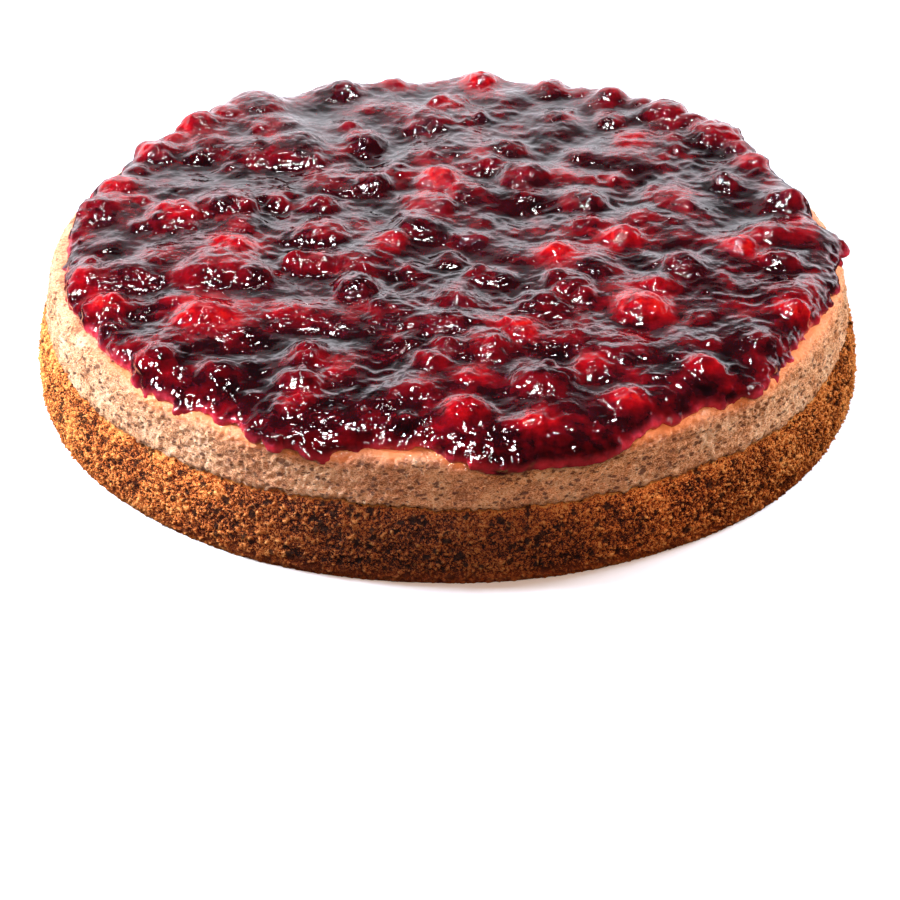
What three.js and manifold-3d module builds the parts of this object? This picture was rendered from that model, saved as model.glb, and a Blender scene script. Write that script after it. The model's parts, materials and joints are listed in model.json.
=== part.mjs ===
import * as THREE from 'three';
import { mergeVertices } from 'three/addons/utils/BufferGeometryUtils.js';
import Module from 'manifold-3d';

// A whole round mousse cake: a sponge base, a layer of chocolate mousse and a topping of
// berries set in red jelly. Millimetres, +Z up, origin at the centre of the flat underside.

const wasm = await Module();
wasm.setup();

// Driving dimensions

const layerSegments = 60;         // facets round the sponge and the mousse
const contactGap = 0.3;           // left between two layers that touch
const edgeGap = 0.8;              // left under the jelly where it runs over the mousse's round edge

const spongeRadius = 131;         // at its widest, a little above the underside
const spongeHeight = 24.6;
const spongeFootRadius = 129.2;   // where it stands
const spongeFootCurve = 5;        // height over which the foot rounds out
const spongeRimRadius = 127.6;    // at its top edge
const spongeRimRound = 1.2;
const spongeSag = 0.3;            // how far the side draws in above and below its widest ring

const mousseRadius = 126.8;       // low on its side
const mousseFootRound = 0.8;
const mousseFootHeight = 2.6;     // where the rounded foot ends, above the seam
const mousseShoulderRadius = 125.4;
const mousseTop = 40;             // height of its flat top above the table
const mousseEdgeRound = 4.2;      // radius of its rounded top edge
const mousseEdgeTilts = [90, 62, 36, 14]; // facets over that edge, in degrees from level
const mousseLevelRadius = 117;    // nothing bends inside this radius
const flatCoreRadius = 60;        // the layers meet dead level inside this radius

const jellyReach = 120.6;         // usual radius of the jelly's wavy edge
const jellyBase = 5.6;            // thickness between the berries
const jellySwell = 0.35;          // slow waves of the surface between them
const jellyRollFront = 10;        // how far in the rounded edge starts, where the jelly runs thin
const jellyRollBack = 5.5;        // and where it stands thick at the edge
const jellyDroop = 9.5;           // how far it can run over the mousse's rounded edge and down its side
const sideLean = 0.17;            // how much the mousse widens for each millimetre down its side
const jellyRings = 16;            // rings of facets from the centre to that edge
const rollSteps = 4;              // facets over the rounded edge
const underMargin = 2;            // it lies flat from this far inside the edge
const underSteps = 5;             // facets where its underside follows the mousse's edge

const sunkBerries = 150;          // berries under the jelly's skin
const sunkMargin = 5;             // kept clear inside the jelly's edge
const sunkShift = 3;              // how far a draw can push one out or in
const sunkTurn = 9;               // and round, in degrees
const goldenAngle = 137.508;
const sunkRadiusSmall = 6.5;
const sunkRadiusLarge = 11;
const sunkCrowding = 0.75;        // they may lie this share of two radii from a standing berry
const sunkRiseSmall = 0.8;        // how high the skin lifts over them
const sunkRiseLarge = 4.2;
const sunkSkirt = 1.25;           // how far the lift spreads, in berry radii
const standingSwell = 2.2;        // how high the jelly climbs a standing berry
const standingSkirt = 2.1;

const berryFloor = 0.9;           // jelly left under a standing berry
const commonBerryRadius = 6;
const berryHalfHeight = 4.8;      // half the height of a common standing berry
const largeBerryGain = 0.08;      // how much of the extra radius of a large one goes into its height
const berryOval = 0.94;           // its narrow side, as a share of the wide one
const berryTurns = 7;             // spreads the directions of the wide sides
const pocketGap = 0.4;            // clearance of its pocket

// Tongues of jelly past the usual edge: angle, how far, and half their width in degrees
const tongues = [
  [179, 1.8, 5], [-134, 4.6, 6], [-120, 2.6, 4], [-113, 5.4, 4.5], [-106, 4.2, 3], [-98, 2.0, 3],
  [-85, 7.2, 4.5], [-77, 7.0, 5.5], [-69, 7.4, 5], [-62, 2.4, 4], [-54, 3.4, 4], [-47, 3.0, 3.5],
  [-41, 5.2, 4], [-30, 2.4, 5], [-20, 2.4, 5], [-11, 3.6, 5], [1, 4.6, 5], [38, 3.4, 9], [53, 3.4, 6],
  [68, 3.6, 6], [84, 3.2, 5], [110, 3.8, 6], [126, 3.4, 8], [141, 3.4, 6],
];

// Large fruit under the skin at the edge: angle, distance from the centre, radius and rise
const edgeRows = [
  [161, 112, 8, 2.6], [148, 113, 9, 3.6], [136, 116, 10, 5.0], [124, 115, 10, 4.8], [99, 114, 8, 2.4],
  [72, 115, 8, 3.4], [61, 116, 9, 4.4], [50, 117, 10, 5.0], [39, 116, 9, 4.6], [28, 115, 8, 3.4],
  [-47, 112, 7, 2.4], [-62, 113, 8, 2.8], [-77, 117, 8, 2.8], [-113, 112, 8, 2.6], [-129, 108, 7, 3.2],
];

// The berries that stand out: angle, distance from the centre, radius and kind
const standingRows = [
  [-90, 71, 4.8, 'dark'], [122, 44, 6.2, 'dark'], [152, 46, 6.0, 'dark'], [-174, 67, 6.5, 'red'],
  [-145, 90, 9.0, 'red'], [-157, 111, 5.0, 'red'], [-87, 43, 5.6, 'dark'], [93, 41, 7.0, 'red'],
  [-17, 37, 6.0, 'red'], [0, 56, 6.4, 'red'], [-38, 76, 9.6, 'red'], [-41, 51, 8.4, 'dark'],
  [-15, 76, 8.4, 'dark'], [-4, 93, 5.8, 'red'], [23, 98, 4.8, 'dark'], [13, 110, 5.4, 'dark'],
  [-70, 64, 6.0, 'red'], [-73, 96, 10.2, 'dark'], [-119, 85, 6.2, 'dark'], [-87, 107, 5.8, 'red'],
  [-24, 116, 4.6, 'red'], [-138, 115, 6.2, 'dark'], [84, 115, 6.0, 'red'], [108, 113, 6.4, 'dark'],
];

const spongeMaterial = new THREE.MeshStandardMaterial({ color: 0xb4703a, roughness: 0.95, metalness: 0 });
const mousseMaterial = new THREE.MeshStandardMaterial({ color: 0xb58562, roughness: 0.8, metalness: 0 });
const jellyMaterial = new THREE.MeshStandardMaterial({ color: 0x6e0a18, roughness: 0.08, metalness: 0 });
const redBerryMaterial = new THREE.MeshStandardMaterial({ color: 0xb8121a, roughness: 0.1, metalness: 0 });
const darkBerryMaterial = new THREE.MeshStandardMaterial({ color: 0x3a0612, roughness: 0.1, metalness: 0 });

// Small helpers

const radians = (degrees) => THREE.MathUtils.degToRad(degrees);

// A repeatable draw between 0 and 1 for place number i
function draw(i, salt) {
  const wave = Math.sin(i * 12.9898 + salt * 78.233) * 43758.5453;
  return wave - Math.floor(wave);
}

// Baked layers are never quite round. Only even waves, so opposite sides match and it stays centred
const outOfRound = (angle) => 0.45 * Math.cos(2 * angle + 0.6) + 0.3 * Math.cos(4 * angle + 2) +
  0.2 * Math.cos(10 * angle + 1);

// Height of the seam between sponge and mousse above its level core
function seamWave(radius, angle) {
  const share = Math.max(0, (radius - flatCoreRadius) / (spongeRimRadius - flatCoreRadius));
  const slow = 0.9 * Math.sin(angle) + 0.6 * Math.sin(3 * angle + 0.4) + 0.45 * Math.sin(7 * angle + 2);
  return share * (slow + 0.25 * Math.sin(13 * angle));
}

// Shapes made of rings of points

// One ring of points of the given radius and height functions
function ring(count, radiusAt, heightAt) {
  const points = [];
  for (let i = 0; i < count; i += 1) {
    const angle = (2 * Math.PI * i) / count;
    const radius = radiusAt(angle);
    const height = heightAt(angle, radius);
    points.push(new THREE.Vector3(radius * Math.cos(angle), radius * Math.sin(angle), height));
  }
  return points;
}

// Facets between two rings of the same count, facing out when the second is above or inside the first
function bridge(triangles, low, high, count) {
  for (let i = 0; i < count; i += 1) {
    const next = (i + 1) % count;
    triangles.push(low + i, low + next, high + i);
    triangles.push(low + next, high + next, high + i);
  }
}

function geometryFrom(points, triangles) {
  const geometry = new THREE.BufferGeometry().setFromPoints(points);
  geometry.setIndex(triangles);
  return geometry;
}

// A closed disc from rings that run from its underside, up its side, to its top
function discGeometry(rings, underside, top) {
  const count = rings[0].length;
  const points = [underside, ...rings.flat(), top];
  const triangles = [];
  for (let i = 0; i < count; i += 1) {
    const next = (i + 1) % count;
    triangles.push(0, 1 + next, 1 + i);
    triangles.push(points.length - 1 - count + i, points.length - 1 - count + next, points.length - 1);
  }
  for (let k = 0; k + 1 < rings.length; k += 1) {
    bridge(triangles, 1 + k * count, 1 + (k + 1) * count, count);
  }
  return geometryFrom(points, triangles);
}

// Sponge

function spongeGeometry() {
  const sides = [
    [spongeFootRadius, 0],
    [spongeRadius - spongeSag, spongeFootCurve / 2],
    [spongeRadius, spongeFootCurve * 1.4],
    [spongeRadius - spongeSag, spongeHeight * 0.55],
    [spongeRimRadius, spongeHeight - spongeRimRound],
  ];
  const rings = sides.map(([radius, height]) =>
    ring(layerSegments, (angle) => radius + outOfRound(angle), () => height));
  for (const radius of [spongeRimRadius - spongeRimRound, flatCoreRadius]) {
    rings.push(ring(layerSegments, () => radius, (angle) => spongeHeight + seamWave(radius, angle)));
  }
  return discGeometry(rings, new THREE.Vector3(0, 0, 0), new THREE.Vector3(0, 0, spongeHeight));
}

// Mousse

// How far out its top stays flat
const flatRunAt = (angle) => mousseShoulderRadius - mousseEdgeRound + outOfRound(angle);

// A point on its rounded top edge: tilt 0 is the flat top, 90 degrees is the side
function overEdge(angle, tilt, lift) {
  const reach = mousseEdgeRound + lift;
  return {
    radius: flatRunAt(angle) + reach * Math.sin(tilt),
    height: mousseTop - mousseEdgeRound + reach * Math.cos(tilt),
  };
}

function mousseGeometry() {
  const seam = (angle, radius) => spongeHeight + contactGap + seamWave(radius, angle);
  const rings = [
    ring(layerSegments, () => flatCoreRadius, seam),
    ring(layerSegments, () => mousseRadius - mousseFootRound, seam),
    ring(layerSegments, (angle) => mousseRadius + outOfRound(angle), () => spongeHeight + mousseFootHeight),
  ];
  for (const tilt of mousseEdgeTilts) {
    rings.push(ring(
      layerSegments,
      (angle) => overEdge(angle, radians(tilt), 0).radius,
      (angle) => overEdge(angle, radians(tilt), 0).height,
    ));
  }
  rings.push(ring(layerSegments, () => mousseLevelRadius, () => mousseTop));
  const under = new THREE.Vector3(0, 0, spongeHeight + contactGap);
  return discGeometry(rings, under, new THREE.Vector3(0, 0, mousseTop));
}

// Berries

function berryAt(angle, distance, radius, kind) {
  const extraHeight = Math.max(0, radius - commonBerryRadius) * largeBerryGain;
  const halfHeight = Math.min(radius, berryHalfHeight + extraHeight);
  return {
    x: distance * Math.cos(radians(angle)),
    y: distance * Math.sin(radians(angle)),
    z: mousseTop + berryFloor + halfHeight,
    radius,
    halfHeight,
    turn: radians(angle * berryTurns),
    kind,
  };
}

const clearOf = (place, others) => others.every((other) =>
  Math.hypot(place.x - other.x, place.y - other.y) > (place.radius + other.radius) * sunkCrowding);

// Places under the skin, spread like the seeds of a sunflower and pushed about a little
function sunkPlaces() {
  const places = [];
  for (let i = 0; i < sunkBerries; i += 1) {
    const spread = (jellyReach - sunkMargin) * Math.sqrt((i + 0.5) / sunkBerries);
    const distance = spread + sunkShift * (draw(i, 1) - 0.5);
    const angle = i * goldenAngle + sunkTurn * (draw(i, 2) - 0.5);
    places.push({
      x: distance * Math.cos(radians(angle)),
      y: distance * Math.sin(radians(angle)),
      radius: sunkRadiusSmall + (sunkRadiusLarge - sunkRadiusSmall) * draw(i, 3),
      rise: sunkRiseSmall + (sunkRiseLarge - sunkRiseSmall) * draw(i, 4),
    });
  }
  return places;
}

function edgeFruitAt(angle, distance, radius, rise) {
  return { x: distance * Math.cos(radians(angle)), y: distance * Math.sin(radians(angle)), radius, rise };
}

const berries = standingRows.map((row) => berryAt(...row));
const edgeFruit = edgeRows.map((row) => edgeFruitAt(...row));
const large = [...berries, ...edgeFruit];
const sunk = [...edgeFruit, ...sunkPlaces().filter((place) => clearOf(place, large))];

function berryGeometry(berry, grow) {
  const geometry = new THREE.IcosahedronGeometry(1, 1);
  geometry.deleteAttribute('normal');
  geometry.deleteAttribute('uv');
  geometry.rotateZ(berry.turn);
  geometry.scale(berry.radius + grow, berry.radius * berryOval + grow, berry.halfHeight + grow);
  geometry.rotateZ(berry.turn);
  return mergeVertices(geometry, 1e-4);
}

// Jelly

function jellyEdge(angle) {
  let reach = jellyReach + 0.5 * Math.sin(9 * angle + 1) + 0.4 * Math.sin(17 * angle + 2) +
    0.3 * Math.sin(29 * angle);
  for (const [middle, extra, halfWidth] of tongues) {
    const away = THREE.MathUtils.euclideanModulo(THREE.MathUtils.radToDeg(angle) - middle + 180, 360) - 180;
    reach += extra * Math.exp(-((away / halfWidth) ** 2));
  }
  return Math.min(reach, flatRunAt(angle) + jellyDroop);
}

const jellyRollAt = (angle) =>
  (jellyRollBack + jellyRollFront) / 2 + ((jellyRollBack - jellyRollFront) / 2) * Math.sin(angle);

// A rounded mound that falls to nothing at its radius
function mound(x, y, centre, radius) {
  const away = Math.hypot(x - centre.x, y - centre.y) / radius;
  return away < 1 ? (1 - away * away) ** 1.2 : 0;
}

function jellyThickness(x, y) {
  let rise = 0;
  for (const place of sunk) {
    rise = Math.max(rise, place.rise * mound(x, y, place, place.radius * sunkSkirt));
  }
  for (const berry of berries) {
    rise = Math.max(rise, standingSwell * mound(x, y, berry, berry.radius * standingSkirt));
  }
  return jellyBase + rise + jellySwell * Math.sin(x * 0.11 + 1) * Math.sin(y * 0.13);
}

// A point of the jelly: the run is measured out over the mousse's top and round its edge
function overMousse(angle, run, thickness) {
  const flatRun = flatRunAt(angle);
  if (run <= flatRun) {
    return { radius: run, height: mousseTop + contactGap + thickness };
  }
  const tilt = (run - flatRun) / (mousseEdgeRound + contactGap);
  const bend = Math.min(tilt, Math.PI / 2);
  const place = overEdge(angle, bend, contactGap + (edgeGap - contactGap) * Math.sin(bend) + thickness);
  const down = (tilt - bend) * (mousseEdgeRound + contactGap);
  return { radius: place.radius + sideLean * down, height: place.height - down };
}

function jellyPoint(angle, run, share) {
  const thickness = share * jellyThickness(run * Math.cos(angle), run * Math.sin(angle));
  const place = overMousse(angle, run, thickness);
  return new THREE.Vector3(place.radius * Math.cos(angle), place.radius * Math.sin(angle), place.height);
}

function jellyRing(count, runAt, share) {
  const points = [];
  for (let i = 0; i < count; i += 1) {
    const angle = (2 * Math.PI * i) / count;
    points.push(jellyPoint(angle, runAt(angle), share));
  }
  return points;
}

// Even facets over the top: each ring has six more points than the one inside it
function topFacets(points, triangles) {
  points.push(jellyPoint(0, 0, 1));
  for (let k = 1; k <= jellyRings; k += 1) {
    const first = points.length;
    const inside = first - Math.max(1, 6 * (k - 1));
    const runAt = (angle) => ((jellyEdge(angle) - jellyRollAt(angle)) * k) / jellyRings;
    points.push(...jellyRing(6 * k, runAt, 1));
    for (let i = 0; i < 6 * k; i += 1) {
      const side = Math.floor(i / k);
      const step = i % k;
      const inner = (j) => inside + (k === 1 ? 0 : (side * (k - 1) + j) % (6 * (k - 1)));
      const next = first + ((i + 1) % (6 * k));
      triangles.push(first + i, next, inner(step));
      if (step < k - 1) {
        triangles.push(inner(step), next, inner(step + 1));
      }
    }
  }
}

function jellyGeometry() {
  const points = [];
  const triangles = [];
  topFacets(points, triangles);
  const count = 6 * jellyRings;
  let last = points.length - count;
  const addRing = (ringPoints) => {
    const first = points.length;
    points.push(...ringPoints);
    bridge(triangles, first, last, count);
    last = first;
  };
  for (let step = 1; step <= rollSteps; step += 1) {
    const turn = (step / rollSteps) * (Math.PI / 2);
    const runAt = (angle) => jellyEdge(angle) - jellyRollAt(angle) * (1 - Math.sin(turn));
    addRing(jellyRing(count, runAt, step === rollSteps ? 0 : Math.cos(turn)));
  }
  for (let step = 1; step <= underSteps; step += 1) {
    const level = (angle) => Math.min(jellyEdge(angle) - underMargin, flatRunAt(angle) - underMargin / 4);
    const share = step / underSteps;
    addRing(jellyRing(count, (angle) => (1 - share) * jellyEdge(angle) + share * level(angle), 0));
  }
  points.push(new THREE.Vector3(0, 0, mousseTop + contactGap));
  for (let i = 0; i < count; i += 1) {
    triangles.push(points.length - 1, last + ((i + 1) % count), last + i);
  }
  return geometryFrom(points, triangles);
}

// Cutting the berries' pockets

function solidFrom(geometry) {
  const vertProperties = new Float32Array(geometry.getAttribute('position').array);
  const triVerts = new Uint32Array(geometry.getIndex().array);
  return new wasm.Manifold(new wasm.Mesh({ numProp: 3, vertProperties, triVerts }));
}

function geometryOf(solid) {
  const mesh = solid.getMesh();
  const geometry = new THREE.BufferGeometry();
  geometry.setAttribute('position', new THREE.BufferAttribute(mesh.vertProperties, 3));
  geometry.setIndex(new THREE.BufferAttribute(mesh.triVerts, 1));
  return geometry;
}

function jellyWithPockets() {
  let jelly = solidFrom(jellyGeometry());
  for (const berry of berries) {
    const pocket = berryGeometry(berry, pocketGap);
    pocket.translate(berry.x, berry.y, berry.z);
    jelly = jelly.subtract(solidFrom(pocket));
  }
  return geometryOf(jelly);
}

// Assembly

const cake = new THREE.Group();

function addNode(name, geometry, material) {
  const node = new THREE.Mesh(geometry, material);
  node.name = name;
  cake.add(node);
  return node;
}

addNode('sponge_base', spongeGeometry(), spongeMaterial);
addNode('chocolate_mousse', mousseGeometry(), mousseMaterial);
addNode('berry_jelly', jellyWithPockets(), jellyMaterial);

const counts = { red: 0, dark: 0 };
for (const berry of berries) {
  counts[berry.kind] += 1;
  const name = `${berry.kind}_berry_${String(counts[berry.kind]).padStart(2, '0')}`;
  const material = berry.kind === 'red' ? redBerryMaterial : darkBerryMaterial;
  addNode(name, berryGeometry(berry, 0), material).position.set(berry.x, berry.y, berry.z);
}

export default cake;
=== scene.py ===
import json
import math

import bpy
import numpy as np
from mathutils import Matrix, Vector

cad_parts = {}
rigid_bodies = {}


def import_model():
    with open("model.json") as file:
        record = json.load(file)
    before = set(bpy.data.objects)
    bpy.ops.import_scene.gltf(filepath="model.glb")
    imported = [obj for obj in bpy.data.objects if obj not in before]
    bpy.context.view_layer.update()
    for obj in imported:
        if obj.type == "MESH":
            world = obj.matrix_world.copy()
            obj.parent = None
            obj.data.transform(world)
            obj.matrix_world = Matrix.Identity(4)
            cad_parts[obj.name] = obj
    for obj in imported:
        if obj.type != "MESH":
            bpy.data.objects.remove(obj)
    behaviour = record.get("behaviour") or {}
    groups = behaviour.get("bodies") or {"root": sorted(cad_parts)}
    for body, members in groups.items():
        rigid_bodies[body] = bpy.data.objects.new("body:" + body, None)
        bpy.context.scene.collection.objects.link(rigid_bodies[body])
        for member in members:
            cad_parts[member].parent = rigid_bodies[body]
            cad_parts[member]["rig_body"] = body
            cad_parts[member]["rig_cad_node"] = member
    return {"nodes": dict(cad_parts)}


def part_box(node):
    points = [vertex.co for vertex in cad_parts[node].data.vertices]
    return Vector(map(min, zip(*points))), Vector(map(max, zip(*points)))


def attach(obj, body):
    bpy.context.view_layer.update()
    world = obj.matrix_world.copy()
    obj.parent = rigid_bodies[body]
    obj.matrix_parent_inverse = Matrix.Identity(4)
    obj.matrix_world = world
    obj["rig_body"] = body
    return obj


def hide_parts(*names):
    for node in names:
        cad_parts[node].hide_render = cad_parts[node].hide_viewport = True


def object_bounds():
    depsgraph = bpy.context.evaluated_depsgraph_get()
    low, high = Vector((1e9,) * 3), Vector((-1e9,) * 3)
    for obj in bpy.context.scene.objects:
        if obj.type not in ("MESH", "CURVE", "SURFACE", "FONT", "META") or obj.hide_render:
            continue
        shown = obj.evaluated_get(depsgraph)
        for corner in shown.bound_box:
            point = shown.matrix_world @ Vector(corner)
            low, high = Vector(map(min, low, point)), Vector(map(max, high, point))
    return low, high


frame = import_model()
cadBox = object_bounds()
mm = 0.001


# Small helpers

def pick(*objects):
    bpy.ops.object.select_all(action="DESELECT")
    for item in objects:
        item.select_set(True)
    bpy.context.view_layer.objects.active = objects[0]


def finishWith(item, kind, **values):  # add a modifier, set it up and apply it
    modifier = item.modifiers.new(kind.title(), kind)
    for name, value in values.items():
        setattr(modifier, name, value)
    pick(item)
    bpy.ops.object.modifier_apply(modifier=modifier.name)


def roughness(name, kind, grain, **values):  # a texture for Displace modifiers
    texture = bpy.data.textures.new(name, kind)
    texture.noise_scale = grain
    for key, value in values.items():
        setattr(texture, key, value)
    return texture


def displace(item, texture, strength, middle=0.5):
    finishWith(item, "DISPLACE", texture=texture, strength=strength, mid_level=middle,
               texture_coords="LOCAL", direction="NORMAL")


def readPoints(item):
    spots = np.empty(len(item.data.vertices) * 3, np.float32)
    item.data.vertices.foreach_get("co", spots)
    return spots.reshape(-1, 3).astype(float)


def writePoints(item, spots):
    item.data.vertices.foreach_set("co", spots.astype(np.float32).ravel())
    item.data.update()


def paint(item, name, values):  # one number per vertex, for the materials to read
    layer = item.data.attributes.new(name, "FLOAT", "POINT")
    layer.data.foreach_set("value", np.clip(values, 0, 1).astype(np.float32))


def smoothStep(low, high, values):
    share = np.clip((values - low) / (high - low), 0, 1)
    return share * share * (3 - 2 * share)


def stepOver(limits, values):  # limits in mm, values in metres
    return smoothStep(limits[0] * mm, limits[1] * mm, values)


def angleOf(spots):
    return np.arctan2(spots[:, 1], spots[:, 0])


def reachOf(spots):
    return np.hypot(spots[:, 0], spots[:, 1])


def copyOf(nodeName, pieceName):  # a CAD node's mesh, its corners joined, to work on
    piece = frame["nodes"][nodeName].copy()
    piece.data = piece.data.copy()
    piece.name = pieceName
    piece.parent = None
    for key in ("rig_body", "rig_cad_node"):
        del piece[key]
    bpy.context.scene.collection.objects.link(piece)
    pick(piece)
    bpy.ops.object.mode_set(mode="EDIT")
    bpy.ops.mesh.select_all(action="SELECT")
    bpy.ops.mesh.remove_doubles(threshold=0.01 * mm)
    bpy.ops.object.mode_set(mode="OBJECT")
    return piece


def twin(source):  # a copy with its own mesh
    form = source.copy()
    form.data = source.data.copy()
    bpy.context.scene.collection.objects.link(form)
    return form


def joinAll(pieces):
    pick(*pieces)
    bpy.ops.object.join()
    return pieces[0]


def dress(piece, material, slotName, *nodeNames):
    piece.data.materials.clear()
    piece.data.materials.append(material)
    pick(piece)
    bpy.ops.object.shade_smooth()
    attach(piece, "root")
    if nodeNames:
        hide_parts(*nodeNames)


# Node helpers

def newMaterial(name):
    material = bpy.data.materials.new(name)
    material.use_nodes = True
    return material, material.node_tree, material.node_tree.nodes["Principled BSDF"]


def place(tree, kind, links=(), **values):  # links: (input, output socket)
    node = tree.nodes.new(kind)
    for name, value in values.items():
        setattr(node, name, value)
    for socket, source in links:
        tree.links.new(source, node.inputs[socket])
    return node


def spotOn(tree):
    return place(tree, "ShaderNodeTexCoord").outputs["Object"]


def noise(tree, where, grain, detail=3.0, rough=0.5):
    node = place(tree, "ShaderNodeTexNoise", [("Vector", where)])
    node.inputs["Scale"].default_value = 1 / grain
    node.inputs["Detail"].default_value = detail
    node.inputs["Roughness"].default_value = rough
    return node.outputs["Fac"]


def cells(tree, where, grain, feature="F1", output="Distance"):
    node = place(tree, "ShaderNodeTexVoronoi", [("Vector", where)], feature=feature)
    node.inputs["Scale"].default_value = 1 / grain
    return node.outputs[output]


def ramp(tree, value, stops, smooth=False):
    node = place(tree, "ShaderNodeValToRGB", [("Fac", value)])
    node.color_ramp.interpolation = "EASE" if smooth else "LINEAR"
    marks = node.color_ramp.elements
    while len(marks) < len(stops):
        marks.new(0.5)
    for mark, (position, colour) in zip(marks, stops):
        mark.position = position
        mark.color = (*colour, 1)
    return node.outputs["Color"]


def sums(tree, operation, first, second, clamp=False):
    node = place(tree, "ShaderNodeMath", operation=operation, use_clamp=clamp)
    for socket, value in zip(node.inputs, (first, second)):
        if isinstance(value, (int, float)):
            socket.default_value = value
        else:
            tree.links.new(value, socket)
    return node.outputs[0]


def mix(tree, share, first, second, kind="MIX"):
    node = place(tree, "ShaderNodeMix", data_type="RGBA", blend_type=kind)
    for socket, value in zip((node.inputs[0], node.inputs[6], node.inputs[7]), (share, first, second)):
        if isinstance(value, (int, float)):
            socket.default_value = value
        elif isinstance(value, tuple):
            socket.default_value = (*value, 1)
        else:
            tree.links.new(value, socket)
    return node.outputs[2]


def between01(tree, value, limits):  # 0 at the first limit, 1 at the second, in mm
    node = place(tree, "ShaderNodeMapRange", [("Value", value)])
    node.inputs["From Min"].default_value = limits[0] * mm
    node.inputs["From Max"].default_value = limits[1] * mm
    return node.outputs[0]


def painted(tree, name):
    return place(tree, "ShaderNodeAttribute", attribute_name=name).outputs["Fac"]


def bump(tree, height, distance, strength=1.0, under=None):
    node = place(tree, "ShaderNodeBump", [("Height", height)])
    node.inputs["Distance"].default_value = distance
    node.inputs["Strength"].default_value = strength
    if under is not None:
        tree.links.new(under, node.inputs["Normal"])
    return node.outputs["Normal"]


def holes(tree, where, spacing, largest):  # small uneven holes, 1 inside them
    wander = place(tree, "ShaderNodeVectorMath", [(0, where)], operation="ADD")
    uneven = noise(tree, where, 0.6 * spacing, 3, 0.7)
    sway = place(tree, "ShaderNodeVectorMath", [(0, uneven)], operation="SCALE")
    sway.inputs["Scale"].default_value = 1.1 * spacing
    tree.links.new(sway.outputs[0], wander.inputs[1])
    middle = cells(tree, wander.outputs[0], spacing)
    size = cells(tree, wander.outputs[0], spacing, output="Color")
    size = sums(tree, "POWER", size, 1.8)
    inside = sums(tree, "SUBTRACT", sums(tree, "MULTIPLY", size, 2.1 * largest), middle)
    return sums(tree, "MULTIPLY", inside, 8, True)


# The shape that the layers share, in mm as the solids have it

def outOfRound(angle):
    return 0.45 * np.cos(2 * angle + 0.6) + 0.3 * np.cos(4 * angle + 2) + 0.2 * np.cos(10 * angle + 1)


def seamWave(angle):
    return 0.9 * np.sin(angle) + 0.6 * np.sin(3 * angle + 0.4) + 0.45 * np.sin(7 * angle + 2) + \
        0.25 * np.sin(13 * angle)


def seamCrumble(angle):  # the finer unevenness of the seam, for the looks only
    return 0.3 * np.sin(41 * angle + 1) + 0.25 * np.sin(73 * angle + 2) + 0.25 * np.sin(127 * angle) + \
        0.2 * np.sin(223 * angle + 3)


def turnLayer(name, rounds, rows):
    # rows: radius and height of each ring, from the underside's edge to the top's edge
    radius, height = rows[0]
    bpy.ops.object.select_all(action="DESELECT")
    bpy.ops.mesh.primitive_circle_add(vertices=rounds, radius=radius)
    layer = bpy.context.object
    layer.name = name
    bpy.ops.object.mode_set(mode="EDIT")
    bpy.ops.mesh.select_all(action="SELECT")
    bpy.ops.transform.translate(value=(0, 0, height))
    for nextRadius, nextHeight in rows[1:]:
        bpy.ops.mesh.extrude_edges_move(TRANSFORM_OT_translate={"value": (0, 0, nextHeight - height)})
        share = nextRadius / radius
        bpy.ops.transform.resize(value=(share, share, 1), center_override=(0, 0, 0))
        radius, height = nextRadius, nextHeight
    bpy.ops.mesh.select_all(action="SELECT")
    bpy.ops.mesh.fill_holes(sides=0)
    bpy.ops.mesh.select_all(action="SELECT")
    bpy.ops.mesh.normals_make_consistent(inside=False)
    bpy.ops.object.mode_set(mode="OBJECT")
    return layer


def evenRows(corners, step):  # rings a step apart along a profile given by its corners
    corners = np.array(corners, float)
    lengths = np.concatenate([[0], np.cumsum(np.hypot(*np.diff(corners, axis=0).T))])
    marks = np.linspace(0, lengths[-1], int(lengths[-1] / step) + 1)
    radii, heights = (np.interp(marks, lengths, corners[:, k]) * mm for k in (0, 1))
    return list(zip(radii.tolist(), heights.tolist()))


def bakeUneven(layer, waveShare):
    spots = readPoints(layer)
    angle, reach = angleOf(spots), reachOf(spots)
    grow = 1 + outOfRound(angle) * mm * smoothStep(0.1, 0.12, reach) / np.maximum(reach, 0.01)
    spots[:, 0] *= grow
    spots[:, 1] *= grow
    spots[:, 2] += (seamWave(angle) + seamCrumble(angle)) * mm * waveShare(spots[:, 2])
    writePoints(layer, spots)


# Sponge base

sponge = {
    "rounds": 1560, "step": 0.47,
    "profile": [(129.2, 0), (130.5, 1.4), (131, 4.5), (131, 9), (130.4, 15), (129.2, 20.2), (128.1, 23),
                (127.3, 24.2), (126.6, 24.9), (124, 25)],
    "lumps": (9, 0.6), "crumbs": (0.55, 0.45), "pits": (1.2, 0.9), "grains": (0.5, 0.2),  # grain, depth
    "speckle": 0.36, "crumbSize": 0.5, "patch": 14, "brightCrumb": 0.65, "roughening": 0.6,  # sizes, mm
    "holeSpacing": 2.6, "holeShare": 0.38,
    # pitDark and deep also serve as painted shade in the crumb's pits and holes
    "pitDark": (0.02, 0.004, 0.001), "deep": (0.26, 0.044, 0.007), "crust": (0.92, 0.215, 0.033),
    "crumbLight": (1.0, 0.46, 0.13),
    "bakedDarker": [("Y", (-108, -129), 0.62), ("X", (52, 88), 0.38)],  # painted shade toward the front and the right, where less light falls: toward where, mm, and how much
    # painted shade at the foot: the heights it fades over, mm, and how much
    "footHeights": (5.5, 0.5), "footDarker": 0.6,
}


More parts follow.
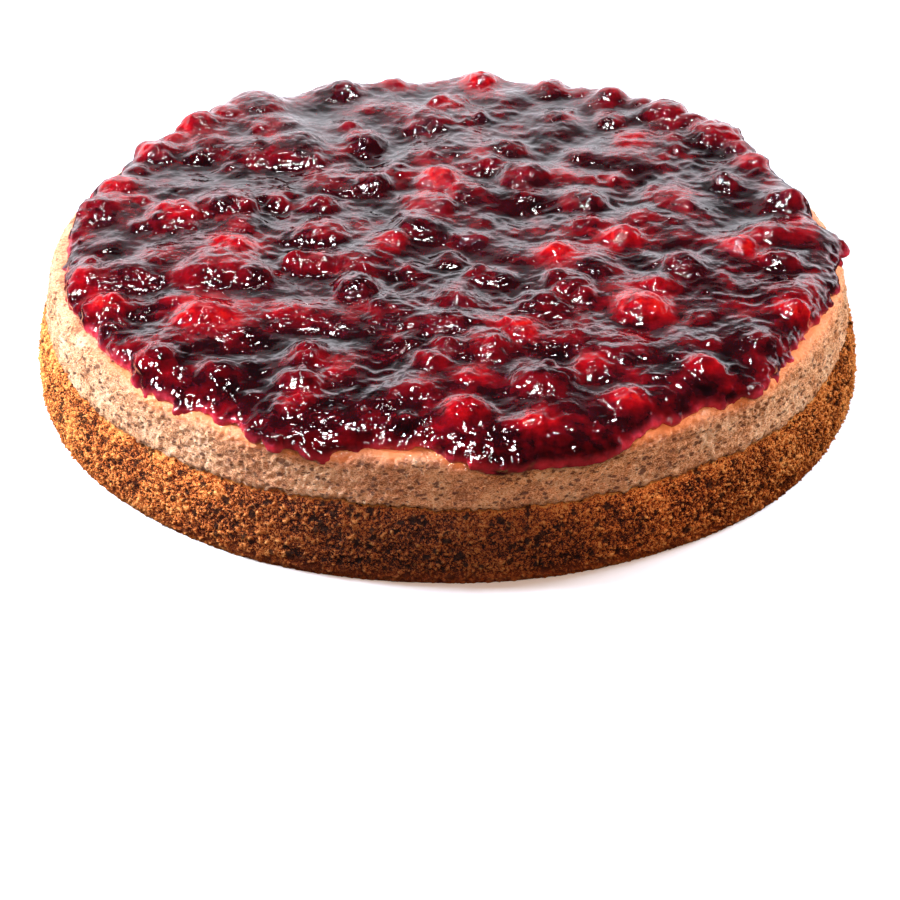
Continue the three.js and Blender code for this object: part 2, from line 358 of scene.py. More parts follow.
def makeSponge():
    layer = turnLayer("SpongeBase", sponge["rounds"], evenRows(sponge["profile"], sponge["step"]))
    top = sponge["profile"][-1][1] * mm
    bakeUneven(layer, lambda height: smoothStep(0.45 * top, 0.97 * top, height))
    smooth = readPoints(layer)
    grain, depth = sponge["lumps"]
    displace(layer, roughness("SpongeLumps", "CLOUDS", grain * mm, noise_depth=2), depth * mm, 0.6)
    grain, depth = sponge["crumbs"]
    displace(layer, roughness("SpongeCrumbs", "CLOUDS", grain * mm, noise_depth=2), depth * mm, 0.6)
    grain, depth = sponge["pits"]
    displace(layer, roughness("SpongePits", "CLOUDS", grain * mm, noise_depth=1, noise_type="HARD_NOISE",
                              contrast=2.4), depth * mm, 0.95)
    grain, depth = sponge["grains"]
    displace(layer, roughness("SpongeGrains", "VORONOI", grain * mm), -depth * mm, 0.35)
    spots = readPoints(layer)
    reach, smoothReach = reachOf(spots), reachOf(smooth)
    low = smooth[:, 2] < 0.3 * mm
    spots[low, 2] = smooth[low, 2]
    spots[:, 2] = np.maximum(spots[:, 2], 0)
    writePoints(layer, spots)
    # how deep each point lies in the crumb; the material paints the pits darker with it, as painted shade
    depth = reach - smoothReach
    deepest, highest = np.percentile(depth, (3, 97))
    paint(layer, "crumb", (depth - deepest) / (highest - deepest))
    return layer


def spongeMaterial():
    material, tree, shader = newMaterial("Sponge crumb")
    where = spotOn(tree)
    crumb = painted(tree, "crumb")
    speckle = noise(tree, where, sponge["speckle"] * mm, 3, 0.75)
    grains = cells(tree, where, sponge["crumbSize"] * mm, output="Color")
    patch = noise(tree, where, sponge["patch"] * mm, 3)
    # the tone is partly painted shade, darker in the crumb's pits, and partly the crumb's own uneven colour
    tone = sums(tree, "ADD", sums(tree, "MULTIPLY", crumb, 0.6), sums(tree, "MULTIPLY", grains, 0.4))
    tone = sums(tree, "ADD", tone, sums(tree, "MULTIPLY", sums(tree, "SUBTRACT", speckle, 0.5), 1.85))
    tone = sums(tree, "ADD", tone, sums(tree, "MULTIPLY", sums(tree, "SUBTRACT", patch, 0.5), 0.5), True)
    colour = ramp(tree, tone, [
        (0.27, sponge["pitDark"]), (0.41, sponge["deep"]),
        (0.56, sponge["crust"]), (0.8, sponge["crumbLight"])])
    bright = cells(tree, where, sponge["brightCrumb"] * mm, output="Color")
    bright = sums(tree, "MULTIPLY", sums(tree, "SUBTRACT", bright, 0.88), 5, True)
    colour = mix(tree, bright, colour, sponge["crumbLight"])
    # small holes painted in the darkest colour: painted shade in holes that have no depth
    hole = holes(tree, where, sponge["holeSpacing"] * mm, sponge["holeShare"])
    colour = mix(tree, sums(tree, "MULTIPLY", hole, 0.9), colour, sponge["pitDark"])
    part = place(tree, "ShaderNodeSeparateXYZ", [(0, where)])
    # painted shade: the sponge's colour is made darker toward its front and its right side, as if less
    # light reached them
    for axis, limits, share in sponge["bakedDarker"]:
        side = sums(tree, "MULTIPLY", between01(tree, part.outputs[axis], limits), share)
        colour = mix(tree, 1, colour, sums(tree, "SUBTRACT", 1, side), "MULTIPLY")
    # painted shade: darker toward the foot, where the cake stands on the floor
    foot = between01(tree, part.outputs["Z"], sponge["footHeights"])
    colour = mix(tree, sums(tree, "MULTIPLY", foot, sponge["footDarker"]), colour, sponge["deep"])
    tree.links.new(colour, shader.inputs["Base Color"])
    shader.inputs["Roughness"].default_value = 0.8
    shader.inputs["Specular IOR Level"].default_value = 0.15
    fine = bump(tree, noise(tree, where, sponge["roughening"] * mm, 3, 0.75), 0.8 * mm)
    tree.links.new(fine, shader.inputs["Normal"])
    return material


# Chocolate mousse

mousse = {
    "rounds": 1300, "step": 0.55,
    "profile": [(125.6, 24.2), (126.9, 24.8), (127.2, 26), (126.8, 27.6), (126.1, 31.8), (125.4, 35.8)],
    "top": 40, "edgeRound": 4.2, "levelRadius": 112,
    "swell": (11, 0.4), "drag": (1.7, 0.35), "pores": (1.3, 0.5),  # grain and depth, mm
    "speck": 0.6, "patch": 9, "blotch": 12, "roughening": 0.9,  # sizes, mm
    "fineHoles": (1.8, 0.36), "wideHoles": (3.8, 0.25),  # spacing, mm, and how large in it
    "calmHeights": (38.3, 39.6), "juiceHeights": (34, 38.8), "juiceBeyond": (0.6, 4.4),
    "dryLeft": (85, 115),
    "cream": (0.83, 0.355, 0.14), "pale": (0.9, 0.61, 0.37), "shade": (0.33, 0.108, 0.034),
    # pore: the dark colour used as painted shade in the pits and holes
    "pore": (0.13, 0.04, 0.014), "juice": (0.74, 0.235, 0.085),
}


def mousseRows():
    corners = list(mousse["profile"])
    shoulder, start = corners[-1]
    for tilt in range(80, -1, -10):
        turn = math.radians(tilt)
        corners.append((shoulder - mousse["edgeRound"] * (1 - math.sin(turn)),
                        start + mousse["edgeRound"] * math.cos(turn)))
    corners.append((mousse["levelRadius"], mousse["top"]))
    return evenRows(corners, mousse["step"])


def makeMousse(edge):
    layer = turnLayer("ChocolateMousse", mousse["rounds"], mousseRows())
    foot = mousse["profile"][0][1] * mm
    bakeUneven(layer, lambda height: 1 - smoothStep(foot, foot + 5 * mm, height))
    smooth = readPoints(layer)
    grain, depth = mousse["swell"]
    displace(layer, roughness("MousseSwell", "CLOUDS", grain * mm, noise_depth=1), depth * mm, 0.55)
    grain, depth = mousse["drag"]
    displace(layer, roughness("MousseDrag", "CLOUDS", grain * mm, noise_depth=2), depth * mm, 0.6)
    side = readPoints(layer)
    grain, depth = mousse["pores"]
    texture = roughness("MoussePores", "CLOUDS", grain * mm, noise_depth=1, contrast=3.5, intensity=1.35)
    displace(layer, texture, depth * mm, 1.0)
    spots = readPoints(layer)
    pore = np.linalg.norm(spots - side, axis=1) / (depth * mm)
    calm = 0.75 * stepOver(mousse["calmHeights"], smooth[:, 2])[:, None]  # smoother under the jelly
    writePoints(layer, spots * (1 - calm) + smooth * calm)
    paint(layer, "pore", pore)
    beyond = reachOf(smooth) - edgeAt(edge, angleOf(smooth))
    wet = stepOver(mousse["juiceHeights"], smooth[:, 2]) * (1 - stepOver(mousse["juiceBeyond"], beyond))
    paint(layer, "juice", wet * (1 - 0.7 * stepOver(mousse["dryLeft"], -smooth[:, 0])))
    return layer


def mousseMaterial():
    material, tree, shader = newMaterial("Chocolate mousse")
    where = spotOn(tree)
    tall = place(tree, "ShaderNodeVectorMath", [(0, where)], operation="MULTIPLY")
    tall.inputs[1].default_value = (1, 1, 1.9)  # marks from spreading run round the side
    lain = tall.outputs[0]
    speck = noise(tree, lain, mousse["speck"] * mm, 4, 0.8)
    patch = noise(tree, where, mousse["patch"] * mm, 3)
    tone = sums(tree, "ADD", sums(tree, "MULTIPLY", speck, 1.5), sums(tree, "MULTIPLY", patch, 0.5))
    tone = sums(tree, "SUBTRACT", tone, 0.46)
    colour = ramp(tree, tone, [(0.4, mousse["shade"]), (0.53, mousse["cream"]), (0.68, mousse["pale"])])
    # painted shade: darker where the surface is pitted
    colour = mix(tree, sums(tree, "MULTIPLY", painted(tree, "pore"), 0.4), colour, mousse["pore"])
    # small holes painted in the pore colour, as painted shade; the bump below also dents them
    fineHole, wideHole = (holes(tree, lain, spacing * mm, share)
                          for spacing, share in (mousse["fineHoles"], mousse["wideHoles"]))
    hole = sums(tree, "MAXIMUM", fineHole, wideHole)
    colour = mix(tree, sums(tree, "MULTIPLY", hole, 0.9), colour, mousse["pore"])
    blotch = sums(tree, "ADD", noise(tree, where, mousse["blotch"] * mm, 2), 0.35)
    juice = sums(tree, "MULTIPLY", painted(tree, "juice"), blotch, True)
    colour = mix(tree, juice, colour, mousse["juice"])
    tree.links.new(colour, shader.inputs["Base Color"])
    wet = ramp(tree, juice, [(0.2, (0.62,) * 3), (0.7, (0.08,) * 3)])
    tree.links.new(wet, shader.inputs["Roughness"])
    shader.inputs["Specular IOR Level"].default_value = 0.4
    shader.inputs["Subsurface Weight"].default_value = 0.1
    shader.inputs["Subsurface Radius"].default_value = (1.0, 0.5, 0.3)
    shader.inputs["Subsurface Scale"].default_value = 1.2 * mm
    dry = sums(tree, "SUBTRACT", 1, sums(tree, "MULTIPLY", juice, 0.85))
    rough = sums(tree, "MULTIPLY", noise(tree, lain, mousse["roughening"] * mm, 4, 0.8), dry)
    fine = bump(tree, rough, 0.9 * mm)
    unholed = sums(tree, "SUBTRACT", 1, sums(tree, "MULTIPLY", hole, dry))
    fine = bump(tree, unholed, 0.4 * mm, 0.8, fine)
    tree.links.new(fine, shader.inputs["Normal"])
    return material


# Berries under the jelly's skin: the same places as in the solids

sunk = {
    "count": 150, "reach": 120.8, "margin": 5, "shift": 3, "turn": 9, "goldenAngle": 137.508,
    "radius": (6.5, 11), "rise": (0.8, 4.2), "highest": 5, "crowding": 0.75, "halfHeight": 4.8,
    "smallest": 4, "edgeSeed": 300,
    "edgeFruit": [  # angle, distance, radius, rise and how red
        (161, 112, 8, 2.6, 0.35), (148, 113, 9, 3.6, 0.2), (136, 116, 10, 5.0, 0.25),
        (124, 115, 10, 4.8, 0.1), (99, 114, 8, 2.4, 0.1), (72, 115, 8, 3.4, 0.15), (61, 116, 9, 4.4, 0.1),
        (50, 117, 10, 5.0, 0.12), (39, 116, 9, 4.6, 0.2), (28, 115, 8, 3.4, 0.3), (-47, 112, 7, 2.4, 0.3),
        (-62, 113, 8, 2.8, 0.5), (-77, 117, 8, 2.8, 0.5), (-113, 112, 8, 2.6, 0.3),
        (-129, 108, 7, 3.2, 0.1)],
}


def draw(i, salt):  # an even draw from 0 to 1, the same each time
    wave = math.sin(i * 12.9898 + salt * 78.233) * 43758.5453
    return wave - math.floor(wave)


def between(limits, share):
    return (limits[0] + (limits[1] - limits[0]) * share) * mm


def atAngle(distance, angle):
    return distance * math.cos(angle), distance * math.sin(angle)


def hill(x, y):  # 1 on the hills of fruit, 0 in the pools of plain jelly between them; mm
    across = math.sin(x / 7 + 1.5 * math.sin(y / 11 + 1))
    return 0.5 + 0.5 * across * math.sin(y / 6 + 1.2 * math.sin(x / 9))


def standingBerries():
    berries = []
    for nodeName in sorted(frame["nodes"]):
        if "_berry_" in nodeName:
            low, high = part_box(nodeName)
            middle, half = (low + high) / 2, (high - low) / 2
            berries.append({"node": nodeName, "middle": middle, "half": half,
                            "radius": (half.x + half.y) / 2, "red": nodeName.startswith("red")})
    return berries


def sunkPlaces(berries):
    places = []
    for i, (angle, distance, radius, rise, light) in enumerate(sunk["edgeFruit"]):
        x, y = atAngle(distance * mm, math.radians(angle))
        places.append({"x": x, "y": y, "radius": radius * mm, "rise": rise * mm,
                       "seed": sunk["edgeSeed"] + i, "light": light})
    large = [(b["middle"].x, b["middle"].y, b["radius"]) for b in berries]
    large += [(spot["x"], spot["y"], spot["radius"]) for spot in places]
    for i in range(sunk["count"]):
        spread = (sunk["reach"] - sunk["margin"]) * math.sqrt((i + 0.5) / sunk["count"])
        distance = (spread + sunk["shift"] * (draw(i, 1) - 0.5)) * mm
        angle = math.radians(i * sunk["goldenAngle"] + sunk["turn"] * (draw(i, 2) - 0.5))
        radius = between(sunk["radius"], draw(i, 3))
        rise = between(sunk["rise"], draw(i, 4))
        x, y = atAngle(distance, angle)
        clear = all(math.hypot(x - middleX, y - middleY) > (radius + size) * sunk["crowding"]
                    for middleX, middleY, size in large)
        if clear:
            rise = min(rise * (0.3 + 1.2 * hill(x / mm, y / mm)), sunk["highest"] * mm)
            light = 0.1 + 0.35 * draw(i, 7) ** 2 if draw(i, 11) > 0.5 else 0.08 * draw(i, 7)
            places.append({"x": x, "y": y, "radius": radius, "rise": rise, "seed": i, "light": light})
    return places


# Berry jelly

jelly = {
    "voxel": 0.92, "level": 45.9, "sink": 0.1, "sinkHeights": (41.5, 44.5), "melt": 10, "highest": 50.9,
    "middling": {"count": 260, "radius": (3.4, 6.6), "rise": (0.3, 1.8), "flatness": 0.8, "fromHill": 0.15,
                 "salt": 500},
    "small": {"count": 560, "radius": (1.6, 2.8), "rise": (0.4, 1.0), "flatness": 1.0, "fromHill": 0.25,
              "salt": 1500},
    "rim": {"count": 120, "radius": (1.8, 3.8), "inset": (1.4, 5.5), "height": (41, 44.8), "salt": 2500},
    "hanging": {"beyond": 121.8, "inset": (0.9, 3.0), "height": (40.2, 43.5)},  # where it runs over
    "pocket": {"wider": 1.8, "higher": 0.3, "lower": 1.0}, "collars": [(5, 2.0), (11, 3.4)],
    "swell": (24, 2.0), "undulation": (14, 1.8), "wrinkle": (5, 0.55), "ripple": (2.4, 0.22),
    "edgeLumps": (5, 2.6), "edgeWidth": 5,  # grain and depth of each, mm
    "softWithin": 114, "hiddenWithin": 115, "flatBand": 1.2, "underside": 40.2, "overhang": 1.2,
    "liftHeights": (44.6, 48.6), "filmHeights": (1.5, 5), "shallows": (2, 16),  # where it looks thin
    "cloud": 9, "streak": 3, "skinning": 2.4, "drupelet": 2.0, "drupeletPatch": 11,  # sizes on it, mm
    "night": (0.006, 0.0006, 0.0012), "wine": (0.028, 0.001, 0.0025), "crimson": (0.14, 0.0015, 0.004),
    "scarlet": (0.30, 0.002, 0.005), "ember": (0.46, 0.008, 0.006), "film": (0.5, 0.03, 0.05),
}


def roundBerry():
    bpy.ops.mesh.primitive_ico_sphere_add(subdivisions=3, radius=1)
    return bpy.context.object


def clusterBerry():
    drops = []
    count, reach, dropRadius, coreRadius = 34, 0.8, 0.27, 0.82
    for i in range(count):  # spread over the sphere, upper part only
        height = 1 - (i + 0.5) * 1.35 / count
        x, y = atAngle(reach * math.sqrt(1 - height * height), i * math.radians(sunk["goldenAngle"]))
        bpy.ops.mesh.primitive_ico_sphere_add(subdivisions=2, radius=dropRadius,
                                              location=(x, y, reach * height))
        drops.append(bpy.context.object)
    bpy.ops.mesh.primitive_ico_sphere_add(subdivisions=2, radius=coreRadius)
    drops.append(bpy.context.object)
    cluster = joinAll(drops)
    pick(cluster)
    bpy.ops.object.transform_apply()
    return cluster


def lump(source, x, y, top, radius, flatness, seed):
    form = twin(source)
    form.scale = (radius, radius * (0.75 + 0.25 * draw(seed, 5)), radius * flatness)
    form.rotation_euler = (0, 0, 6.3 * draw(seed, 6))
    form.location = (x, y, top - radius * flatness)
    return form


def heightAt(domes, x, y):  # of the jelly over its large berries
    height = (jelly["level"] - jelly["sink"]) * mm
    for middleX, middleY, top, radius, halfHeight in domes:
        away = math.hypot(x - middleX, y - middleY) / radius
        if away < 1:
            height = max(height, top - halfHeight * (1 - math.sqrt(1 - away * away)))
    return height


halfDegrees = 720


def turnOf(angle):  # in half degrees from -180 degrees
    return (np.asarray(angle) + math.pi) / (2 * math.pi) * halfDegrees


def slotOf(angle):
    return np.floor(turnOf(angle)).astype(int) % halfDegrees


def outlineOf(item):  # how far the piece reaches out, for every half degree
    spots = readPoints(item)
    ends = np.empty(len(item.data.edges) * 2, np.int32)
    item.data.edges.foreach_get("vertices", ends)
    start, end = spots[ends[0::2]], spots[ends[1::2]]
    edge = np.zeros(halfDegrees)
    for share in np.linspace(0, 1, 9):
        along = start + (end - start) * share
        np.maximum.at(edge, slotOf(angleOf(along)), reachOf(along))
    return edge


def edgeAt(edge, angle):
    return np.interp(turnOf(angle) - 0.5, np.arange(halfDegrees), edge, period=halfDegrees)


def berryForms(places, berries, edge):
    bpy.ops.object.select_all(action="DESELECT")
    plain, cluster = roundBerry(), clusterBerry()
    forms = []
    domes = [(b["middle"].x, b["middle"].y, b["middle"].z + b["half"].z, b["radius"], b["half"].z)
             for b in berries]
    for spot in places:
        seed = spot["seed"]
        form = twin(cluster if draw(seed, 6) > 0.5 else plain)
        room = edgeAt(edge, math.atan2(spot["y"], spot["x"])) - math.hypot(spot["x"], spot["y"])
        radius = min(spot["radius"] * (0.95 + 0.35 * draw(seed, 8)), max(room, sunk["smallest"] * mm))
        halfHeight = min(radius, sunk["halfHeight"] * mm)
        top = jelly["level"] * mm + spot["rise"] + 0.2 * mm
        domes.append((spot["x"], spot["y"], top, 0.9 * radius, halfHeight))
        form.scale = (radius, radius * (0.8 + 0.2 * draw(seed, 9)), halfHeight)
        form.rotation_euler = (0, 0, 6.3 * draw(seed, 10))
        form.location = (spot["x"], spot["y"], top - halfHeight)
        forms.append(form)
    for near, following in zip(sunk["edgeFruit"], sunk["edgeFruit"][1:]):  # a ridge joins the back fruit
        if following[0] > 0:
            angle, distance, radius = ((near[k] + following[k]) / 2 for k in range(3))
            top = (jelly["level"] + 0.8 * min(near[3], following[3])) * mm
            x, y = atAngle(distance * mm, math.radians(angle))
            forms.append(lump(plain, x, y, top, 0.8 * radius * mm, 0.8, int(angle)))
    for kind in (jelly["middling"], jelly["small"]):
        for i in range(kind["count"]):
            seed = kind["salt"] + i
            distance = (sunk["reach"] - 4) * math.sqrt((i + draw(seed, 1)) / kind["count"]) * mm
            angle = math.radians(i * sunk["goldenAngle"]) + 0.25 * draw(seed, 2) + kind["salt"]
            x, y = atAngle(distance, angle)
            if hill(x / mm, y / mm) < kind["fromHill"] + 0.3 * draw(seed, 12):
                continue
            top = heightAt(domes, x, y) + between(kind["rise"], draw(seed, 4))
            radius = between(kind["radius"], draw(seed, 3))
            forms.append(lump(plain, x, y, min(top, jelly["highest"] * mm), radius, kind["flatness"], seed))
    rim = jelly["rim"]
    for i in range(rim["count"]):
        seed = rim["salt"] + i
        angle = 2 * math.pi * (i + draw(seed, 1)) / rim["count"]
        kind = jelly["hanging"] if edgeAt(edge, angle) > jelly["hanging"]["beyond"] * mm else rim
        x, y = atAngle(edgeAt(edge, angle) - between(kind["inset"], draw(seed, 2)), angle)
        top, radius = between(kind["height"], draw(seed, 3)), between(rim["radius"], draw(seed, 4))
        forms.append(lump(plain, x, y, top, radius, 0.8, seed))
    pocket = jelly["pocket"]
    for berry in berries:  # fill the pockets, so that the jelly closes round each standing berry
        form, half, middle = twin(plain), berry["half"], berry["middle"]
        wider = pocket["wider"] * mm
        form.scale = (half.x + wider, half.y + wider, half.z + pocket["higher"] * mm)
        form.location = middle - Vector((0, 0, pocket["lower"] * mm))
        forms.append(form)
        room = edgeAt(edge, math.atan2(middle.y, middle.x)) - math.hypot(middle.x, middle.y)
        room -= berry["radius"]
        for wider, lower in jelly["collars"]:  # and rises toward it in a gentle hill
            wider = min(wider * mm, room)
            form = twin(plain)
            form.scale = (half.x + wider, half.y + wider, half.z)
            form.location = middle - Vector((0, 0, lower * mm))
            forms.append(form)
    pick(*forms)
    bpy.ops.object.transform_apply(location=True, rotation=True, scale=True)
    for item in (plain, cluster):
        bpy.data.objects.remove(item)
    return forms


def makeJelly(places, berries, edge):
    skin = copyOf("berry_jelly", "BerryJelly")
    finishWith(skin, "SUBSURF", levels=1)
    spots = readPoints(skin)
    under = spots[reachOf(spots) < 0.1, 2].min()
    spots[:, 2] -= jelly["sink"] * mm * stepOver(jelly["sinkHeights"], spots[:, 2])
    writePoints(skin, spots)
    skin = joinAll([skin, *berryForms(places, berries, edge)])
    finishWith(skin, "REMESH", mode="VOXEL", voxel_size=jelly["voxel"] * mm)
    dropSpecks(skin)
    soft = skin.vertex_groups.new(name="Soft")  # the edge keeps its shape better than the middle
    inner = reachOf(readPoints(skin)) < jelly["softWithin"] * mm
    for weight, chosen in ((1.0, inner), (0.3, ~inner)):
        soft.add([int(i) for i in np.flatnonzero(chosen)], weight, "REPLACE")
    finishWith(skin, "SMOOTH", factor=0.5, iterations=jelly["melt"], vertex_group="Soft")
    flattenUnderside(skin, under)
    before = readPoints(skin)
    fitUnder = before[:, 2] < jelly["underside"] * mm
    grain, depth = jelly["swell"]
    displace(skin, roughness("JellySwell", "CLOUDS", grain * mm, noise_depth=0), depth * mm, 0.5)
    grain, depth = jelly["undulation"]
    displace(skin, roughness("JellyUndulation", "CLOUDS", grain * mm, noise_depth=0), depth * mm, 0.5)
    even = readPoints(skin)
    grain, depth = jelly["edgeLumps"]  # fruit shows as lumps in the jelly's edge
    displace(skin, roughness("JellyEdge", "CLOUDS", grain * mm, noise_depth=1), depth * mm, 0.5)
    inset = edgeAt(outlineOf(skin), angleOf(even)) - reachOf(even)
    atEdge = 1 - stepOver((0.4 * jelly["edgeWidth"], jelly["edgeWidth"]), inset)
    atEdge *= 1 - 0.45 * stepOver((0, 60), even[:, 1])  # less of them at the back
    even += (readPoints(skin) - even) * atEdge[:, None]
    writePoints(skin, even)
    grain, depth = jelly["wrinkle"]
    texture = roughness("JellyWrinkle", "MUSGRAVE", grain * mm, musgrave_type="RIDGED_MULTIFRACTAL",
                        octaves=2, noise_intensity=0.8)
    displace(skin, texture, depth * mm, 0.6)
    calm = 0.35 + 0.35 * np.sin(even[:, 0] / (17 * mm) + 2 * np.sin(even[:, 1] / (21 * mm) + 1))
    writePoints(skin, readPoints(skin) * (1 - calm[:, None]) + even * calm[:, None])
    grain, depth = jelly["ripple"]
    plain = readPoints(skin)
    displace(skin, roughness("JellyRipple", "CLOUDS", grain * mm, noise_depth=1), depth * mm, 0.5)
    spots = plain + (readPoints(skin) - plain) * (1 + 0.6 * atEdge[:, None])
    spots[fitUnder, 2] = before[fitUnder, 2]  # the underside keeps to the mousse
    hidden = fitUnder & (reachOf(before) < jelly["hiddenWithin"] * mm)
    spots[hidden] = before[hidden]
    spots[:, 2] = np.minimum(spots[:, 2], cadBox[1].z)
    beyond = reachOf(spots) - edgeAt(edge, angleOf(spots)) - jelly["overhang"] * mm
    atFront = 0.7 * stepOver((0, 30), -spots[:, 1])
    pullIn = 1 - atFront * np.maximum(beyond, 0) / reachOf(spots)  # no lump hangs far over the edge
    spots[:, :2] *= pullIn[:, None]
    writePoints(skin, spots)
    paintGlow(skin, places, berries)
    paintFilm(skin)
    return skin


def dropSpecks(skin):  # keep only what hangs together with the highest point
    pick(skin)
    bpy.ops.object.mode_set(mode="EDIT")
    bpy.context.tool_settings.mesh_select_mode = (True, False, False)
    bpy.ops.mesh.select_all(action="DESELECT")
    bpy.ops.object.mode_set(mode="OBJECT")
    skin.data.vertices[int(np.argmax(readPoints(skin)[:, 2]))].select = True
    bpy.ops.object.mode_set(mode="EDIT")
    bpy.ops.mesh.select_linked()
    bpy.ops.mesh.select_all(action="INVERT")
    bpy.ops.mesh.delete(type="VERT")
    bpy.ops.object.mode_set(mode="OBJECT")


def readFaces(item, what):  # "normal" or "center" of each face
    values = np.empty(len(item.data.polygons) * 3, np.float32)
    item.data.polygons.foreach_get(what, values)
    return values.reshape(-1, 3)


def flattenUnderside(skin, under):  # and make it few faces, as it is hidden
    within = jelly["hiddenWithin"] * mm
    spots = readPoints(skin)
    lowest = (reachOf(spots) < within) & (spots[:, 2] < under + jelly["flatBand"] * mm)
    spots[lowest, 2] = under
    writePoints(skin, spots)
    hidden = (readFaces(skin, "normal")[:, 2] < -0.98) & (reachOf(readFaces(skin, "center")) < within)
    pick(skin)
    bpy.ops.object.mode_set(mode="EDIT")
    bpy.ops.mesh.select_all(action="DESELECT")
    bpy.ops.object.mode_set(mode="OBJECT")
    skin.data.polygons.foreach_set("select", hidden)
    bpy.ops.object.mode_set(mode="EDIT")
    bpy.context.tool_settings.mesh_select_mode = (False, False, True)
    bpy.ops.mesh.dissolve_faces()
    bpy.ops.object.mode_set(mode="OBJECT")


def paintGlow(item, places, berries):  # how much red fruit shows through
    spots = readPoints(item)
    glow = np.zeros(len(spots))
    for spot in places:
        away = np.hypot(spots[:, 0] - spot["x"], spots[:, 1] - spot["y"]) / spot["radius"]
        glow = np.maximum(glow, spot["light"] * (1 - smoothStep(0.2, 1.5, away)))
    for berry in berries:
        light, spread = (0.55, 3) if berry["red"] else (0.1, 1.6)
        middle = berry["middle"]
        away = np.hypot(spots[:, 0] - middle.x, spots[:, 1] - middle.y) / berry["radius"]
        glow = np.maximum(glow, light * (1 - smoothStep(0.2, spread, away)))
    lift = stepOver(jelly["liftHeights"], spots[:, 2])
    paint(item, "glow", glow * (0.35 + 0.75 * lift))
    paint(item, "lift", lift)


def paintFilm(skin):  # thin jelly at the edge, where the mousse shines through
    spots = readPoints(skin)
    angle = angleOf(spots)
    inset = edgeAt(outlineOf(skin), angle) - reachOf(spots)
    rim = inset < 3 * mm
    foot = np.full(halfDegrees, jelly["level"] * mm)  # how high the edge's underside is
    np.minimum.at(foot, slotOf(angle[rim]), spots[rim, 2])
    foot = sum(np.roll(foot, slot) for slot in range(-3, 4)) / 7
    low = 1 - stepOver(jelly["filmHeights"], spots[:, 2] - edgeAt(foot, angle))
    width = 3.0 + 0.7 * np.sin(37 * angle + 1) + 0.4 * np.sin(83 * angle)
    paint(skin, "film", low * (1 - smoothStep(0, width * mm, inset)))
    paint(skin, "shallow", 1 - stepOver(jelly["shallows"], inset))


def jellyMaterial(name, filmy=False):
    material, tree, shader = newMaterial(name)
    where = spotOn(tree)
    glow = painted(tree, "glow")
    cloudy = noise(tree, where, jelly["cloud"] * mm, 3, 0.6)
    streak = noise(tree, where, jelly["streak"] * mm, 3, 0.6)
    broken = sums(tree, "MULTIPLY", glow, sums(tree, "SUBTRACT", sums(tree, "MULTIPLY", streak, 2.4), 0.35))
    tone = sums(tree, "ADD", sums(tree, "MULTIPLY", broken, 0.95), cloudy)
    tone = sums(tree, "ADD", tone, sums(tree, "MULTIPLY", painted(tree, "lift"), 0.18))
    if filmy:
        edgeTone = sums(tree, "MULTIPLY", painted(tree, "shallow"), sums(tree, "MULTIPLY", streak, 0.42))
        tone = sums(tree, "ADD", tone, edgeTone)
    tone = sums(tree, "SUBTRACT", tone, 0.42, True)
    colour = ramp(tree, tone, [
        (0.05, jelly["night"]), (0.24, jelly["wine"]), (0.48, jelly["crimson"]), (0.76, jelly["scarlet"]),
        (1.0, jelly["ember"])])
    if filmy:
        thin = sums(tree, "MULTIPLY", painted(tree, "film"), sums(tree, "MULTIPLY", streak, 1.5), True)
        colour = mix(tree, thin, colour, jelly["film"])
    tree.links.new(colour, shader.inputs["Base Color"])
    setWet(shader)
    lifted = painted(tree, "lift")  # plain jelly in the hollows is smooth
    if filmy:
        lifted = sums(tree, "MAXIMUM", lifted, sums(tree, "MULTIPLY", painted(tree, "shallow"), 0.7))
    skinning = noise(tree, where, jelly["skinning"] * mm, 2, 0.45)
    skinning = sums(tree, "MULTIPLY", skinning, sums(tree, "ADD", lifted, 0.6))
    fine = bump(tree, skinning, 0.5 * mm, 0.6)
    patchy = noise(tree, where, jelly["drupeletPatch"] * mm, 1)
    patchy = sums(tree, "MULTIPLY", sums(tree, "SUBTRACT", patchy, 0.42), 5, True)
    if filmy:
        patchy = sums(tree, "ADD", patchy, sums(tree, "MULTIPLY", painted(tree, "shallow"), 0.4), True)
    away = cells(tree, where, jelly["drupelet"] * mm, "SMOOTH_F1")
    drupelets = sums(tree, "MULTIPLY", away, away)
    drupelets = sums(tree, "MULTIPLY", drupelets, sums(tree, "MULTIPLY", patchy, lifted))
    fine = bump(tree, sums(tree, "SUBTRACT", 1, drupelets), 0.7 * mm, 0.8, fine)
    tree.links.new(fine, shader.inputs["Normal"])
    return material


def setWet(shader):
    shader.inputs["Roughness"].default_value = 0.02
    shader.inputs["IOR"].default_value = 1.42
    shader.inputs["Subsurface Weight"].default_value = 0.5
    shader.inputs["Subsurface Radius"].default_value = (1.0, 0.12, 0.1)
    shader.inputs["Subsurface Scale"].default_value = 2 * mm
    shader.inputs["Coat Weight"].default_value = 0.6
    shader.inputs["Coat Roughness"].default_value = 0.01


# Standing berries

berryLook = {"swell": (5, 1.0), "drupelets": (2.6, 0.5)}  # grain and depth, mm


def makeBerry(berry):
    bpy.ops.object.select_all(action="DESELECT")
    bpy.ops.mesh.primitive_ico_sphere_add(subdivisions=5, radius=1, scale=berry["half"],
                                          location=berry["middle"])
    piece = bpy.context.object
    piece.name = berry["node"].title().replace("_", "")
    bpy.ops.object.transform_apply(location=True, rotation=True, scale=True)
    grain, depth = berryLook["swell"]
    displace(piece, roughness("BerrySwell", "CLOUDS", grain * mm, noise_depth=1), depth * mm, 0.62)
    grain, depth = berryLook["drupelets"]
    displace(piece, roughness("BerryDrupelets", "VORONOI", grain * mm), -depth * mm, 0.1)
    finishWith(piece, "SMOOTH", factor=0.5, iterations=4)
    return piece


# Studio

